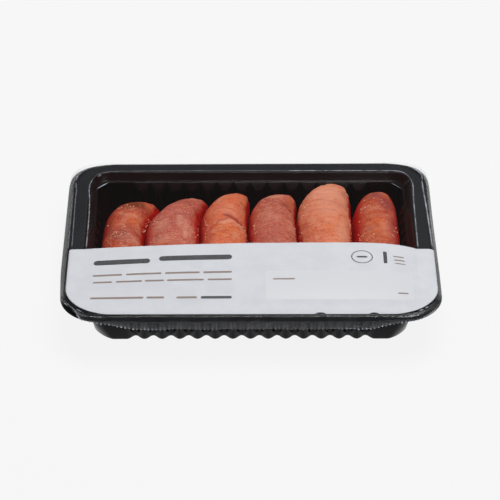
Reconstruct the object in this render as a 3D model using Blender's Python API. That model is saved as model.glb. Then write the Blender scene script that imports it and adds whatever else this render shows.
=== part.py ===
# Sealed retail pack of mentaiko: six pollock roe sacs side by side in a black
# fluted tray, under a clear lid film, with a paper label over the front part.
# Metres, +Z up, origin in the middle of the tray's base, front towards -Y.
import math

import bmesh
import bpy

MM = 0.001

# Driving dimensions of the whole pack
PACK_WIDTH = 205.0 * MM
PACK_DEPTH = 154.6 * MM
TRAY_HEIGHT = 27.9 * MM
GAP = 0.35 * MM

# Tray: insets are measured inwards from the pack's outline
TRAY_WALL = 0.8 * MM
LIP_INSET = 0.75 * MM
LIP_DROP = 4.3 * MM
SHOULDER_INSET = 2.1 * MM
SHOULDER_DROP = 0.7 * MM
FLANGE_OUTER = 3.1 * MM
FLANGE_INNER = 11.6 * MM
UPPER_WALL_FOOT = 14.2 * MM
LEDGE_INSET = 15.2 * MM
LEDGE_DROP = 3.4 * MM
BASE_INSET = 18.7 * MM
FLOOR_INSET = 26.0 * MM
BOTTOM_ROUND = 2.2 * MM
LIP_CORNER = 23.0 * MM
FLANGE_CORNER = 10.0 * MM
LEDGE_CUT = 9.0 * MM
FOOT_CUT = 7.5 * MM
BASE_CUT = 10.0 * MM
CORNER_STEPS = 8

# Flutes: ribs that stand into the tray, a row along each wall
RIB_PITCH = 9.53 * MM
RIBS_LONG = 14
RIBS_SHORT = 8
RIB_DEPTH_LONG = 3.6 * MM
RIB_DEPTH_SHORT = 2.4 * MM
RIB_TOP_DROP = 6.7 * MM
RIB_FACE = 1.3 * MM
RIB_FOOT = 3.5 * MM
RIB_TONGUE = 3.4 * MM

# Film: a thin lid welded to the flange, its edge hanging over the lip
FILM_THICKNESS = 0.25 * MM
FILM_SKIRT = 7.6 * MM
FILM_SKIRT_SIDE = 6.2 * MM
FILM_SKIRT_CORNER = 4.0 * MM
FILM_BULGE = 4.0 * MM

# Label: paper on the film, from the front edge to about the middle
LABEL_INSET = 2.6 * MM
LABEL_CORNER = 25.0 * MM
LABEL_THICKNESS = 0.25 * MM
LABEL_GAP = 0.65 * MM
LABEL_BACK = -13.2 * MM
LABEL_RISE = 1.12

# Roe sacs: their sides meet at seams, given at seven stations from front to back
SAC_CLEARANCE = 0.3 * MM
SAC_FLOOR = 1.15 * MM
SAC_STATIONS = (-56.0, -30.0, -6.0, 10.0, 22.0, 34.0, 48.0)
SAC_SEAMS = (
    (-78.0, -81.0, -82.2, -82.3, -81.6, -80.1, -77.0),
    (-55.0, -57.4, -58.4, -58.6, -57.5, -52.8, -49.4),
    (-28.0, -28.3, -27.8, -27.9, -28.2, -26.8, -23.6),
    (-1.0, -0.8, -0.9, -1.3, -1.5, -1.0, 0.9),
    (25.8, 26.0, 26.7, 26.7, 25.8, 26.1, 28.3),
    (53.6, 55.2, 56.6, 57.2, 57.0, 57.1, 57.9),
    (79.5, 81.4, 82.3, 82.4, 82.4, 82.1, 80.8),
)
# Front end, back end, height, sideways lean of the back end, lift of the back
# end as a share of the half height, and how blunt the ends are
SAC_SHAPES = (
    (-52.0, 46.2, 27.8, 6.5, 1.02, 5.2),
    (-53.0, 49.1, 29.2, 9.5, 1.00, 4.6),
    (-52.0, 54.0, 29.8, 7.0, 1.02, 4.2),
    (-54.0, 52.4, 29.8, 4.5, 1.00, 5.0),
    (-53.0, 56.6, 31.0, 4.0, 1.36, 5.2),
    (-52.0, 54.6, 29.8, 2.6, 1.04, 4.6),
)
SAC_FRONT_LIFT = 0.62
SAC_SQUARENESS = 2.3
SAC_END_ROUND = 2.5
SAC_LENGTH_STEPS = 20
SAC_ROUND_STEPS = 24

TRAY_COLOUR = (0.012, 0.012, 0.014, 1.0)
FILM_COLOUR = (0.75, 0.80, 0.85, 1.0)
LABEL_COLOUR = (0.68, 0.70, 0.74, 1.0)
SAC_COLOURS = (
    (0.62, 0.16, 0.09, 1.0),
    (0.62, 0.18, 0.13, 1.0),
    (0.70, 0.20, 0.09, 1.0),
    (0.58, 0.17, 0.13, 1.0),
    (0.72, 0.26, 0.14, 1.0),
    (0.66, 0.17, 0.08, 1.0),
)


def clear_scene():
    for old in list(bpy.data.objects):
        bpy.data.objects.remove(old, do_unlink=True)


def make_material(name, colour, roughness, metallic=0.0):
    material = bpy.data.materials.new(name)
    material.use_nodes = True
    shader = material.node_tree.nodes["Principled BSDF"]
    shader.inputs["Base Color"].default_value = colour
    shader.inputs["Roughness"].default_value = roughness
    shader.inputs["Metallic"].default_value = metallic
    return material


def make_object(name, mesh_data, material, sharp_angle):
    """Turn a bmesh into a named object with its faces pointing outwards."""
    bmesh.ops.recalc_face_normals(mesh_data, faces=mesh_data.faces)
    mesh = bpy.data.meshes.new(name)
    mesh_data.to_mesh(mesh)
    mesh_data.free()
    mesh.materials.append(material)
    mesh.shade_smooth()
    mesh.set_sharp_from_angle(angle=math.radians(sharp_angle))
    item = bpy.data.objects.new(name, mesh)
    bpy.context.scene.collection.objects.link(item)
    return item


def loft(rings, first_pole, last_pole):
    """Join closed rings of equal length in order, with a fan of triangles at each end."""
    mesh_data = bmesh.new()
    loops = []
    for ring in rings:
        loops.append([mesh_data.verts.new(point) for point in ring])
    count = len(loops[0])
    for lower, upper in zip(loops, loops[1:]):
        for i in range(count):
            j = (i + 1) % count
            mesh_data.faces.new((lower[i], lower[j], upper[j], upper[i]))
    start = mesh_data.verts.new(first_pole)
    end = mesh_data.verts.new(last_pole)
    for i in range(count):
        j = (i + 1) % count
        mesh_data.faces.new((start, loops[0][j], loops[0][i]))
        mesh_data.faces.new((end, loops[-1][i], loops[-1][j]))
    return mesh_data


def round_corner(size, steps):
    """Quarter arc from (0, -size) to (-size, 0), as offsets from the sharp corner."""
    points = []
    for k in range(steps + 1):
        angle = math.pi / 2 * k / steps
        points.append((size * (math.cos(angle) - 1), size * (math.sin(angle) - 1)))
    return points


def cut_corner(size, steps):
    """Straight 45 degree cut between the same two ends, both its edges eased."""
    ease = size * 0.14
    on_side = (0.0, -size)
    on_bend = (-ease / 4, -size + ease)
    on_cut = (-ease, -size + 2 * ease)
    first = [on_side, on_bend, on_cut]
    run = size - 3 * ease
    middle = []
    for k in range(1, steps - 4):
        share = k / (steps - 4)
        middle.append((on_cut[0] - run * share, on_cut[1] + run * share))
    second = [(y, x) for x, y in reversed(first)]
    return first + middle + second


def outline(half_x, half_y, corner, along_x, along_y):
    """Closed outline, anticlockwise from the right side, as (x, y) pairs.

    corner holds the offsets of one corner; along_x and along_y hold a (position,
    depth) pair for each point on the long and the short sides.
    """
    points = [(half_x - depth, y) for y, depth in along_y]
    points += [(half_x + dx, half_y + dy) for dx, dy in corner]
    points += [(x, half_y - depth) for x, depth in reversed(along_x)]
    points += [(-half_x - dx, half_y + dy) for dx, dy in reversed(corner)]
    points += [(-half_x + depth, y) for y, depth in reversed(along_y)]
    points += [(-half_x - dx, -half_y - dy) for dx, dy in corner]
    points += [(x, -half_y + depth) for x, depth in along_x]
    points += [(half_x + dx, -half_y - dy) for dx, dy in reversed(corner)]
    return points


def rib_row(count, depth, face, foot):
    """Four points for each rib of a row: foot, face, face, foot."""
    row = []
    for i in range(count):
        middle = (i - (count - 1) / 2) * RIB_PITCH
        row += [(middle - foot, 0.0), (middle - face, depth)]
        row += [(middle + face, depth), (middle + foot, 0.0)]
    return row


def tray_ring(inset, height, corner, ribs=0.0, face=RIB_FACE, foot=RIB_FOOT):
    """One closed ring of the tray; ribs is the share of the ribs' full depth."""
    along_x = rib_row(RIBS_LONG, RIB_DEPTH_LONG * ribs, face, foot)
    along_y = rib_row(RIBS_SHORT, RIB_DEPTH_SHORT * ribs, face, foot)
    flat = outline(PACK_WIDTH / 2 - inset, PACK_DEPTH / 2 - inset, corner, along_x, along_y)
    return [(x, y, height) for x, y in flat]


def build_tray():
    """Walk the section from the floor up the inside, over the lip and down the outside."""
    top = TRAY_HEIGHT
    wall = TRAY_WALL
    ledge = top - LEDGE_DROP
    rib_top = top - RIB_TOP_DROP
    slope = UPPER_WALL_FOOT - FLANGE_INNER
    lip = round_corner(LIP_CORNER, CORNER_STEPS)
    rim = round_corner(FLANGE_CORNER, CORNER_STEPS)
    upper = round_corner(FLANGE_CORNER - slope, CORNER_STEPS)
    ledge_cut = cut_corner(LEDGE_CUT, CORNER_STEPS)
    foot_cut = cut_corner(FOOT_CUT, CORNER_STEPS)
    base_cut = cut_corner(BASE_CUT, CORNER_STEPS)
    inner = [
        tray_ring(FLOOR_INSET, wall, base_cut),
        tray_ring(BASE_INSET + 2 * wall, wall, base_cut, 0.9),
        tray_ring(BASE_INSET, wall + BOTTOM_ROUND, foot_cut, 1.0),
        tray_ring(LEDGE_INSET + wall + 0.4 * MM, rib_top, ledge_cut, 1.0),
        tray_ring(LEDGE_INSET + wall, ledge, ledge_cut, 0.0, RIB_TONGUE),
        tray_ring(UPPER_WALL_FOOT + wall, ledge + 0.4 * MM, upper),
        tray_ring(FLANGE_INNER + wall, top - wall, rim),
        tray_ring(FLANGE_INNER, top, rim),
    ]
    rim_and_lip = [
        tray_ring(FLANGE_OUTER, top, lip),
        tray_ring(SHOULDER_INSET, top - SHOULDER_DROP, lip),
        tray_ring(LIP_INSET, top - LIP_DROP, lip),
        tray_ring(LIP_INSET + wall, top - LIP_DROP - 0.2 * MM, lip),
        tray_ring(FLANGE_OUTER + 0.5 * wall, top - wall, lip),
        tray_ring(FLANGE_INNER, top - wall, rim),
    ]
    outer_face = RIB_FACE - 0.8 * wall
    outer_foot = RIB_FOOT - 0.8 * wall
    outer_tongue = RIB_TONGUE - 0.8 * wall
    outer = [
        tray_ring(UPPER_WALL_FOOT, ledge - 0.4 * wall, upper),
        tray_ring(LEDGE_INSET, ledge - wall, ledge_cut, 0.0, outer_tongue, outer_foot),
        tray_ring(LEDGE_INSET + 0.4 * MM, rib_top - 0.6 * wall, ledge_cut, 1.0, outer_face, outer_foot),
        tray_ring(BASE_INSET - wall, BOTTOM_ROUND, foot_cut, 1.0, outer_face, outer_foot),
        tray_ring(BASE_INSET + wall, 0.0, base_cut, 0.9, outer_face, outer_foot),
        tray_ring(FLOOR_INSET, 0.0, base_cut, 0.0, outer_face, outer_foot),
    ]
    mesh_data = loft(inner + rim_and_lip + outer, (0.0, 0.0, wall), (0.0, 0.0, 0.0))
    material = make_material("tray_black_plastic", TRAY_COLOUR, 0.35)
    return make_object("tray", mesh_data, material, 25)


def seam_slope(seam, k):
    """Slope of a seam at a station, from the stations on both sides of it."""
    before = max(k - 1, 0)
    after = min(k + 1, len(SAC_STATIONS) - 1)
    return (seam[after] - seam[before]) / (SAC_STATIONS[after] - SAC_STATIONS[before])


def seam_at(seam, y):
    """Smooth curve through a seam's stations (cubic Hermite pieces), in metres."""
    place = y / MM
    k = 0
    while k < len(SAC_STATIONS) - 2 and place > SAC_STATIONS[k + 1]:
        k += 1
    run = SAC_STATIONS[k + 1] - SAC_STATIONS[k]
    share = (place - SAC_STATIONS[k]) / run
    ease = share * share * (3 - 2 * share)
    leaving = share * (1 - share) ** 2 * run * seam_slope(seam, k)
    arriving = share * share * (share - 1) * run * seam_slope(seam, k + 1)
    return (seam[k] + (seam[k + 1] - seam[k]) * ease + leaving + arriving) * MM


def rounded_power(value, power):
    return math.copysign(abs(value) ** power, value)


def build_sac(number, left_seam, right_seam, shape):
    """A plump sac: squarish ovals between two seams, shrinking at both blunt ends."""
    front, back, height, lean, lift, blunt = shape
    half_height = (height * MM - SAC_FLOOR) / 2
    power = 2 / SAC_SQUARENESS
    rings = []
    poles = []
    for k in range(SAC_LENGTH_STEPS + 1):
        t = -math.cos(math.pi * k / SAC_LENGTH_STEPS)
        swell = max(1 - abs(t) ** blunt, 0.0) ** (1 / SAC_END_ROUND)
        y = (front + (back - front) * (t + 1) / 2) * MM
        left = seam_at(left_seam, y) + SAC_CLEARANCE
        right = seam_at(right_seam, y) - SAC_CLEARANCE
        lean_here = lean * MM * (1 - swell) if t > 0 else 0.0
        x_middle = (left + right) / 2 + lean_here
        end_lift = SAC_FRONT_LIFT + (lift - SAC_FRONT_LIFT) * (t + 1) / 2
        z_middle = SAC_FLOOR + half_height * (end_lift + (1 - end_lift) * swell)
        if k in (0, SAC_LENGTH_STEPS):
            poles.append((x_middle, y, z_middle))
            continue
        ring = []
        for i in range(SAC_ROUND_STEPS):
            angle = 2 * math.pi * (i + 0.5) / SAC_ROUND_STEPS
            across = rounded_power(math.cos(angle), power) * (right - left) / 2 * swell
            upward = rounded_power(math.sin(angle), power) * half_height * swell
            ring.append((x_middle + across, y, z_middle + upward))
        rings.append(ring)
    mesh_data = loft(rings, poles[0], poles[1])
    material = make_material("roe_skin_%d" % number, SAC_COLOURS[number - 1], 0.4)
    return make_object("roe_%d" % number, mesh_data, material, 80)


def build_sacs():
    for index, shape in enumerate(SAC_SHAPES):
        build_sac(index + 1, SAC_SEAMS[index], SAC_SEAMS[index + 1], shape)


def film_bulge(x, y):
    """Height that the sacs push the film up: none at the flange, most right of the middle."""
    half_x = PACK_WIDTH / 2 - FLANGE_INNER
    half_y = PACK_DEPTH / 2 - FLANGE_INNER
    u = min(max((x + half_x) / (2 * half_x), 0.0), 1.0)
    v = min(abs(y) / half_y, 1.0)
    across = (1 - (1 - u) ** 3.3) * (1 - u ** 24)
    along = 1 - v ** 3
    return FILM_BULGE * across * along


def even_row(half_length, count):
    return [(half_length * (2 * i / (count - 1) - 1), 0.0) for i in range(count)]


def skirt_drop(x, y):
    """How far the film hangs: most at the front and back, least at the cut corners."""
    along_x = PACK_WIDTH / 2 - LIP_CORNER
    along_y = PACK_DEPTH / 2 - LIP_CORNER
    if abs(x) <= along_x:
        return FILM_SKIRT
    if abs(y) <= along_y:
        return FILM_SKIRT_SIDE
    return FILM_SKIRT_CORNER


def film_ring(inset, height, corner_size, hang=0.0):
    """One ring of the film; hang is the share of the skirt's drop below the top."""
    half_x = PACK_WIDTH / 2 - inset
    half_y = PACK_DEPTH / 2 - inset
    corner = round_corner(corner_size, CORNER_STEPS)
    along_x = even_row(half_x - corner_size - 4 * MM, 13)
    along_y = even_row(half_y - corner_size - 4 * MM, 7)
    ring = []
    for x, y in outline(half_x, half_y, corner, along_x, along_y):
        z = height + film_bulge(x, y) - hang * skirt_drop(x, y)
        ring.append((x, y, z))
    return ring


def build_film():
    """Under side from the middle out to the skirt's edge, then back over the top."""
    bottom = TRAY_HEIGHT + GAP
    top = bottom + FILM_THICKNESS
    steps = ((50 * MM, 6 * MM), (34 * MM, 7 * MM), (22 * MM, 8 * MM), (16.5 * MM, 9 * MM))
    under = [film_ring(inset, bottom, corner) for inset, corner in steps]
    under.append(film_ring(FLANGE_INNER, bottom, FLANGE_CORNER))
    under.append(film_ring(FLANGE_OUTER - 0.4 * MM, bottom, LIP_CORNER))
    under.append(film_ring(SHOULDER_INSET - 0.45 * MM, bottom - 0.85 * MM, LIP_CORNER))
    under.append(film_ring(0.35 * MM, top, LIP_CORNER, 0.62))
    under.append(film_ring(0.3 * MM, top, LIP_CORNER, 1.0))
    over = [
        film_ring(0.0, top, LIP_CORNER, 1.0),
        film_ring(0.05 * MM, top, LIP_CORNER, 0.6),
        film_ring(SHOULDER_INSET - 0.75 * MM, top - 0.8 * MM, LIP_CORNER),
        film_ring(FLANGE_OUTER - 0.6 * MM, top, LIP_CORNER),
        film_ring(FLANGE_INNER, top, FLANGE_CORNER),
    ]
    over += [film_ring(inset, top, corner) for inset, corner in reversed(steps)]
    middle = film_bulge(0.0, 0.0)
    mesh_data = loft(under + over, (0.0, 0.0, bottom + middle), (0.0, 0.0, top + middle))
    material = make_material("film_clear", FILM_COLOUR, 0.12)
    return make_object("film", mesh_data, material, 40)


def label_rows():
    """Rows from front to back as (y, half width): first the corner arcs, then straight."""
    half_x = PACK_WIDTH / 2 - LABEL_INSET
    front = -(PACK_DEPTH / 2 - LABEL_INSET)
    rows = []
    for k in range(CORNER_STEPS + 1):
        angle = math.pi / 2 * k / CORNER_STEPS
        y = front + LABEL_CORNER * (1 - math.cos(angle))
        rows.append((y, half_x - LABEL_CORNER * (1 - math.sin(angle))))
    straight_start = front + LABEL_CORNER
    for k in (1, 2, 3):
        rows.append((straight_start + (LABEL_BACK - straight_start) * k / 3, half_x))
    return rows


def build_label():
    """A bent sheet: the same grid of points twice, joined round its edge."""
    columns = 20
    bottom = TRAY_HEIGHT + GAP + FILM_THICKNESS + LABEL_GAP
    rows = label_rows()
    mesh_data = bmesh.new()
    sheets = []
    for height in (bottom, bottom + LABEL_THICKNESS):
        grid = []
        for y, half_width in rows:
            line = []
            for i in range(columns + 1):
                x = half_width * (2 * i / columns - 1)
                z = height + LABEL_RISE * film_bulge(x, y)
                line.append(mesh_data.verts.new((x, y, z)))
            grid.append(line)
        sheets.append(grid)
    lower, upper = sheets
    for r in range(len(rows) - 1):
        for i in range(columns):
            for grid in sheets:
                mesh_data.faces.new((grid[r][i], grid[r][i + 1], grid[r + 1][i + 1], grid[r + 1][i]))
    last = len(rows) - 1
    border = [(0, i) for i in range(columns)] + [(r, columns) for r in range(last)]
    border += [(last, i) for i in range(columns, 0, -1)] + [(r, 0) for r in range(last, 0, -1)]
    for k, (r, i) in enumerate(border):
        s, j = border[(k + 1) % len(border)]
        mesh_data.faces.new((lower[r][i], lower[s][j], upper[s][j], upper[r][i]))
    material = make_material("label_paper", LABEL_COLOUR, 0.7)
    return make_object("label", mesh_data, material, 40)


clear_scene()
build_tray()
build_sacs()
build_film()
build_label()
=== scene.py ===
# Sealed mentaiko pack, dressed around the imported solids: black fluted tray, six roe
# sacs, clear lid film with a zigzag cut edge, and a paper label over the front part.
# Shapes are worked out in millimetres and put into the meshes in metres.
import math

import bpy
import numpy as np
from mathutils import Matrix, Vector


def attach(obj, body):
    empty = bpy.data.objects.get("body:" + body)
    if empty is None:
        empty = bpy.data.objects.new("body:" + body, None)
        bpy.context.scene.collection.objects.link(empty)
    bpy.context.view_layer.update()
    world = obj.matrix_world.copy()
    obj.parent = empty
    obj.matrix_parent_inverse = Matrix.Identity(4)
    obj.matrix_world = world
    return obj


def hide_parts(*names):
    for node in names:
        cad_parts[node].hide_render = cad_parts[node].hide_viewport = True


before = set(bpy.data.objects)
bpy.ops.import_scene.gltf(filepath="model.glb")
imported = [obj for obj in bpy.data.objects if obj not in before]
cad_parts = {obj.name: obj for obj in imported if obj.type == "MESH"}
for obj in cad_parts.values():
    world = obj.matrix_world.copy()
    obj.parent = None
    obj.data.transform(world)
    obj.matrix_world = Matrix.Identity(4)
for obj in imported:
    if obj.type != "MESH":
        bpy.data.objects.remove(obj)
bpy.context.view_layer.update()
print("frame loaded with", len(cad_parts), "nodes")

mm = 0.001
packWidth = 205.0
packDepth = 154.6
packCorner = 23.0  # radius of the outline's corners
shoulderHeight = 27.45  # where the film bends down over the lip


# Small tools used by every piece


def smoothStep(low, high, value):
    # 0 below low, 1 above high, eased in between
    share = np.clip((value - low) / (high - low), 0.0, 1.0)
    return share * share * (3.0 - 2.0 * share)


def cellNoise(points, cell, seed):
    # random numbers on a cubic lattice, blended by smoothstep between the eight
    # corners round each point: a smooth field from -1 to 1
    side, start = 40, 1000.0  # cells before it repeats, and a start that keeps them positive
    table = np.random.default_rng(seed).uniform(-1.0, 1.0, (side, side, side))
    place = np.asarray(points) / cell + start
    base = np.floor(place).astype(int)
    part = smoothStep(0.0, 1.0, place - base)
    total = np.zeros(place.shape[:-1])
    for corner in np.ndindex(2, 2, 2):
        ahead = np.array(corner)
        share = np.prod(np.where(ahead, part, 1.0 - part), axis=-1)
        pick = (base + ahead) % side
        total += share * table[pick[..., 0], pick[..., 1], pick[..., 2]]
    return total


def layeredNoise(points, layers, seed, seedStep=1):
    # sum of noises, each with its own height and cell size
    layers = enumerate(layers)
    return sum(height * cellNoise(points, cell, seed + k * seedStep) for k, (height, cell) in layers)


def planNoise(x, y, layers, seed, seedStep=1):
    # the same read over the plan, at height 0
    return layeredNoise(np.stack([x, y, 0 * x], axis=-1), layers, seed, seedStep)


def gridFaces(rows, columns, around=False):
    # quads between neighbouring rows of a grid; around joins the last column to the first
    index = np.arange(rows * columns).reshape(rows, columns)
    if around:
        index = np.concatenate([index, index[:, :1]], axis=1)
    corners = [index[:-1, :-1], index[:-1, 1:], index[1:, 1:], index[1:, :-1]]
    return np.stack(corners, axis=-1).reshape(-1, 4)


def makePiece(name, points, faces, material, fields=None):
    # points in millimetres; fields are numbers stored at each point for the material
    mesh = bpy.data.meshes.new(name)
    mesh.from_pydata((np.asarray(points) * mm).tolist(), [], [list(face) for face in faces])
    for fieldName, values in (fields or {}).items():
        field = mesh.attributes.new(fieldName, "FLOAT", "POINT")
        field.data.foreach_set("value", np.asarray(values, dtype=np.float32).ravel())
    mesh.materials.append(material)
    mesh.shade_smooth()
    mesh.update()
    piece = bpy.data.objects.new(name, mesh)
    bpy.context.scene.collection.objects.link(piece)
    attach(piece, "root")
    return piece


def thicken(piece, thickness):
    # gives a sheet its thickness, behind its faces
    wall = piece.modifiers.new("wall", "SOLIDIFY")
    wall.thickness = thickness * mm
    wall.offset = -1.0


def closedRings(rings, endClosed=True):
    # rings of equal length, with one more point in the middle of the first and, where
    # the end is closed, in the middle of the last
    rows, columns = rings.shape[:2]
    points = [rings.reshape(-1, 3), [rings[0].mean(axis=0)]]
    faces = gridFaces(rows, columns, around=True).tolist()
    here = np.arange(columns)
    following = np.roll(here, -1)
    firstPole = rows * columns
    faces += np.stack([following, here, np.full(columns, firstPole)], axis=-1).tolist()
    if endClosed:
        points.append([rings[-1].mean(axis=0)])
        here, following = here + firstPole - columns, following + firstPole - columns
        faces += np.stack([here, following, np.full(columns, firstPole + 1)], axis=-1).tolist()
    return np.concatenate(points), faces


def joinGrids(grids):
    # open grids of any sizes as the points of one mesh, and the faces of each grid
    starts = np.cumsum([0] + [grid.shape[0] * grid.shape[1] for grid in grids])
    faces = [gridFaces(*grid.shape[:2]) + start for grid, start in zip(grids, starts)]
    return np.vstack([grid.reshape(-1, 3) for grid in grids]), faces


def roundedSection(stations, steps=4):
    # each corner of the section becomes a quadratic curve that starts and ends its
    # own radius (last number of a station) away from the corner
    stations = np.array(stations, dtype=float)
    place = stations[:, :-1]
    rows = [place[:1]]
    share = np.linspace(0.0, 1.0, steps + 1)[:, None]
    for before, here, after, radius in zip(place[:-2], place[1:-1], place[2:], stations[1:-1, -1]):
        if radius == 0.0:
            rows.append(here[None])
            continue
        start = here + (before - here) * min(radius / np.hypot(*(before - here)[:2]), 0.5)
        end = here + (after - here) * min(radius / np.hypot(*(after - here)[:2]), 0.5)
        rows.append((1 - share) ** 2 * start + 2 * share * (1 - share) * here + share**2 * end)
    rows.append(place[-1:])
    return np.vstack(rows)


def outlineInset(x, y):
    # distance inwards from the pack's outline: a rectangle with arcs at its corners
    pastX = np.abs(x) - packWidth / 2 + packCorner
    pastY = np.abs(y) - packDepth / 2 + packCorner
    outside = np.hypot(np.maximum(pastX, 0.0), np.maximum(pastY, 0.0))
    return packCorner - outside - np.minimum(np.maximum(pastX, pastY), 0.0)


bulge = {
    "inset": 11.6,  # where the film starts to rise
    "height": 4.0,
}


def filmBulge(x, y):
    # height that the sacs push the film up, most right of the middle: it falls to none
    # by powers of the way to the left, to the right and to both long edges
    halfX = packWidth / 2 - bulge["inset"]
    halfY = packDepth / 2 - bulge["inset"]
    u = np.clip((x + halfX) / (2 * halfX), 0.0, 1.0)
    v = np.clip(np.abs(y) / halfY, 0.0, 1.0)
    return bulge["height"] * (1 - (1 - u) ** 3.3) * (1 - u**15) * (1 - v**3)


# how far the rim lies beyond the plain outline on each side; the slant at the back is
# the growth over 100 mm to the right
rim = {
    "left": 1.3,
    "right": 0.25,
    "frontRight": 0.6,
    "back": 2.0,
    "backSlant": 0.5,
    "corner": 1.7,
}


def rimShift(x, y):
    # how far the outer rim of the tray and the film lies beyond the plain outline: some
    # at the left, the front right and the back, most at the two back corners, each
    # eased in along the outline and faded out towards the opening
    inset = outlineInset(x, y)
    low = np.interp(inset, (0.7, 1.1, 2.2, 4.2), (1.0, 0.85, 0.35, 0.0))
    near = smoothStep(6.5, 2.0, inset)
    toSide = smoothStep(60.0, 95.0, np.abs(x))
    left = rim["left"] * smoothStep(-64.0, -25.0, y)
    right = rim["right"] + rim["frontRight"] * smoothStep(30.0, -40.0, y) * smoothStep(-74.0, -50.0, y)
    side = np.where(x < 0, left, right)
    toCorner = rim["corner"] * smoothStep(80.0, 96.0, np.abs(x)) * smoothStep(54.0, 70.0, y)
    back = (rim["back"] + rim["backSlant"] * x / 100.0) * smoothStep(40.0, 72.0, y)
    return np.sign(x) * (low * side * toSide + near * toCorner), near * (back + toCorner)


def shiftedInset(x, y):
    # the inset that a place on the shifted rim has on the plain outline
    moveX, moveY = rimShift(x, y)
    return outlineInset(x - moveX, y - moveY)


class NodeTree:
    # the emptied nodes of a material or a world, and short hands for adding and joining

    def __init__(self, owner):
        owner.use_nodes = True
        self.owner = owner
        self.tree = owner.node_tree
        self.tree.nodes.clear()

    def feed(self, socket, value):
        # a value is either another node's socket or a constant
        if isinstance(value, bpy.types.NodeSocket):
            self.tree.links.new(value, socket)
        else:
            socket.default_value = value

    def add(self, kind, *inputs, **values):
        # inputs come in their order or by name, and other names are settings of the node
        node = self.tree.nodes.new("ShaderNode" + kind)
        named = {socket.name.replace(" ", "").lower(): socket for socket in node.inputs}
        for key, value in values.items():
            if key.lower() in named:
                self.feed(named[key.lower()], value)
            else:
                setattr(node, key, value)
        for socket, value in zip(node.inputs, inputs):
            self.feed(socket, value)
        return node

    def mix(self, share, first, second):
        # blend of two colours
        node = self.add("Mix", data_type="RGBA")
        for number, value in ((0, share), (6, first), (7, second)):
            self.feed(node.inputs[number], value)
        return node.outputs[2]

    def spread(self, source, low, high, toLow, toHigh):
        # a straight line between two values, level before and after them
        return self.add("MapRange", source, low, high, toLow, toHigh).outputs[0]

    def place(self):
        # the place on the piece itself, in metres
        return self.add("TexCoord").outputs["Object"]

    def noise(self, scale, detail=3.0, roughness=0.5, stretch=(1.0, 1.0, 1.0)):
        # scale is in cells per metre; a stretch under 1 draws the noise out that way
        place = self.add("Mapping", vector=self.place(), scale=stretch).outputs[0]
        return self.add("TexNoise", vector=place, scale=scale, detail=detail, roughness=roughness).outputs[0]

    def vector(self, operation, *inputs):
        # a sum, product or the like of directions
        return self.add("VectorMath", *inputs, operation=operation).outputs

    def number(self, operation, *inputs):
        # the same for plain numbers
        return self.add("Math", *inputs, operation=operation).outputs[0]

    def field(self, name):
        # a number that the mesh stores at each point
        return self.add("Attribute", attribute_name=name).outputs["Fac"]

    def finish(self, kind, *inputs, **values):
        # the last shader, led to the material's surface
        self.add("OutputMaterial", self.add(kind, *inputs, **values).outputs[0])
        return self.owner


# Tray: a rounded rectangle swept along the section from the floor up the fluted
# wall, over the flange and down the lip, with ribs standing into the tray

trayLook = {
    "wall": 0.5,
    "ribPitch": 9.53,
    "ribsLong": 14,
    "ribsShort": 8,
    "ribDepthLong": 3.6,
    "ribDepthShort": 2.4,
    "ribFace": 1.5,
    "ribFoot": 4.6,
    "ribWave": 1.15,
    "ribFill": 0.96,
    "beadShift": 0.5,
    "beadAlong": ((4.2, 10.4, 12.3, 14.95), (0.0, 1.0, 1.0, 0.0)),
    "creaseAngle": 28.0,
    "cornerSteps": 14,
    "endSteps": 6,
    "colour": (0.0045, 0.0045, 0.0056, 1.0),
    "dustColour": (0.010, 0.010, 0.0135, 1.0),
    # painted reflection of the roe's red light on the inner walls
    "insideColour": (0.0078, 0.0008, 0.0005, 1.0),
    "roughness": (0.15, 0.25),
    "shine": 0.12,
    "cloudScale": 60.0,
    "grainScale": 900.0,
    "grainStrength": 0.12,
    "dust": 0.6,
}

# inset from the pack's outline, height, corner size, corner power (2 is an arc, 1 is
# a straight cut), share of the ribs' depth, softness of the flutes, rounding
traySection = (
    (64.0, 0.5, 9.0, 1.3, 0.0, 0.0, 0.0),
    (27.0, 0.5, 9.0, 1.4, 0.0, 0.0, 0.0),
    (18.9, 0.5, 9.4, 1.3, 1.0, 1.0, 1.5),
    (17.6, 9.0, 7.0, 1.6, 1.0, 0.4, 0.0),
    (16.2, 20.9, 4.6, 1.8, 1.0, 0.0, 0.5),
    (16.0, 24.3, 6.6, 1.2, 0.0, 0.0, 0.2),
    (14.95, 24.5, 6.6, 1.8, 0.0, 0.0, 0.2),
    (12.3, 27.6, 9.6, 2.0, 0.0, 0.0, 0.35),
    (11.7, 28.1, 10.0, 2.0, 0.0, 0.0, 0.3),
    (10.9, 28.1, 10.6, 2.0, 0.0, 0.0, 0.3),
    (10.4, 27.8, 11.0, 2.0, 0.0, 0.0, 0.25),
    (4.2, 27.9, 22.0, 2.0, 0.0, 0.0, 0.9),
    (2.2, 26.9, 23.0, 2.0, 0.0, 0.0, 0.9),
    (1.05, 24.8, 23.0, 2.0, 0.0, 0.0, 0.4),
    (0.75, 24.3, 23.0, 2.0, 0.0, 0.0, 0.0),
)


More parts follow.
